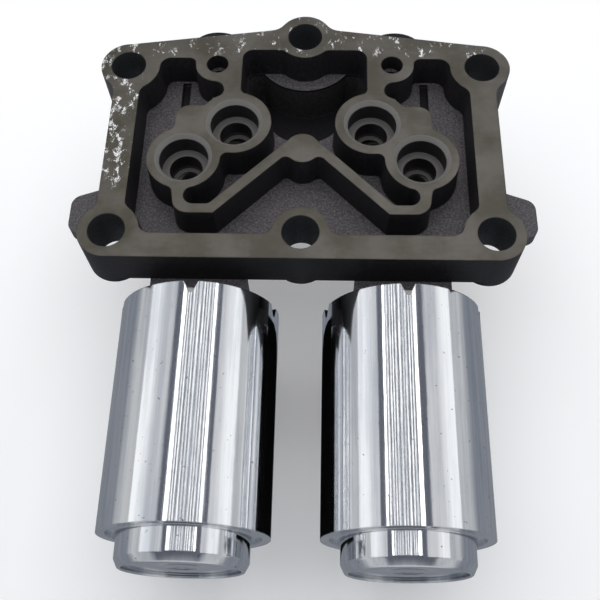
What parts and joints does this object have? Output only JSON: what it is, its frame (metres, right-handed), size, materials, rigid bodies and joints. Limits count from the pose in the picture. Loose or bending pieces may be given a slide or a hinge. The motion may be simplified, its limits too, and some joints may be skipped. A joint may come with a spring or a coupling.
{
  "type": "dual solenoid pressure control valve",
  "caption": "Die-cast valve body with a bolted gasket face and stepped ports, and two round linear solenoids side by side that push spring-returned spools in its bores.",
  "frame": {"origin": "centre of the four corner bolt holes, on the gasket face", "axes": "+Z out of the gasket face, +Y along the spool bores away from the solenoids, +X to the right seen from the solenoids with the gasket face up"},
  "size_m": [0.0908, 0.1138, 0.0458],
  "materials": {
    "cast_aluminium": "die cast, gasket face machined",
    "plated_steel": "bright zinc plate",
    "core_iron": "turned",
    "ground_steel": "ground",
    "bush_bronze": "sintered",
    "copper_wire": "enamelled winding",
    "tinned_brass": "tinned",
    "natural_plastic": "moulded",
    "black_plastic": "moulded",
    "seal_rubber": "smooth",
    "anodised_aluminium": "hard anodised",
    "plug_aluminium": "turned"
  },
  "bodies": {
    "housing": {"valve_body": "cast_aluminium", "left_can": "plated_steel", "left_rear_yoke": "plated_steel", "left_cap_disc": "plated_steel", "left_front_plate": "core_iron", "left_pole_core": "core_iron", "left_front_bush": "bush_bronze", "left_rear_bush": "bush_bronze", "left_coil_bobbin": "natural_plastic", "left_coil_winding": "copper_wire", "left_nose_o_ring": "seal_rubber", "left_plug_o_ring": "seal_rubber", "left_connector": "black_plastic", "left_terminals": "tinned_brass", "left_spool_spring": "ground_steel", "left_bore_plug": "plug_aluminium", "left_plug_clip": "ground_steel", "right_can": "plated_steel", "right_rear_yoke": "plated_steel", "right_cap_disc": "plated_steel", "right_front_plate": "core_iron", "right_pole_core": "core_iron", "right_front_bush": "bush_bronze", "right_rear_bush": "bush_bronze", "right_coil_bobbin": "natural_plastic", "right_coil_winding": "copper_wire", "right_nose_o_ring": "seal_rubber", "right_plug_o_ring": "seal_rubber", "right_connector": "black_plastic", "right_terminals": "tinned_brass", "right_spool_spring": "ground_steel", "right_bore_plug": "plug_aluminium", "right_plug_clip": "ground_steel"},
    "left_plunger": {"left_armature": "core_iron", "left_push_rod": "ground_steel"},
    "left_valve_spool": {"left_spool": "anodised_aluminium"},
    "right_plunger": {"right_armature": "core_iron", "right_push_rod": "ground_steel"},
    "right_valve_spool": {"right_spool": "anodised_aluminium"}
  },
  "joints": [
    {"name": "left_armature_slide", "type": "slide", "parent": "housing", "child": "left_plunger", "axis": [0, 1, 0], "range_m": [0, 0.002], "stiffness_N_per_m": 900, "springref_m": -0.001},
    {"name": "left_spool_slide", "type": "slide", "parent": "housing", "child": "left_valve_spool", "axis": [0, 1, 0], "range_m": [0, 0.002], "stiffness_N_per_m": 900, "springref_m": -0.001, "deforming": ["left_spool_spring"]},
    {"name": "right_armature_slide", "type": "slide", "parent": "housing", "child": "right_plunger", "axis": [0, 1, 0], "range_m": [0, 0.002], "stiffness_N_per_m": 900, "springref_m": -0.001},
    {"name": "right_spool_slide", "type": "slide", "parent": "housing", "child": "right_valve_spool", "axis": [0, 1, 0], "range_m": [0, 0.002], "stiffness_N_per_m": 900, "springref_m": -0.001, "deforming": ["right_spool_spring"]}
  ],
  "couplings": [
    {"joint": "left_spool_slide", "follows": "left_armature_slide", "ratio": 1},
    {"joint": "right_spool_slide", "follows": "right_armature_slide", "ratio": 1}
  ]
}
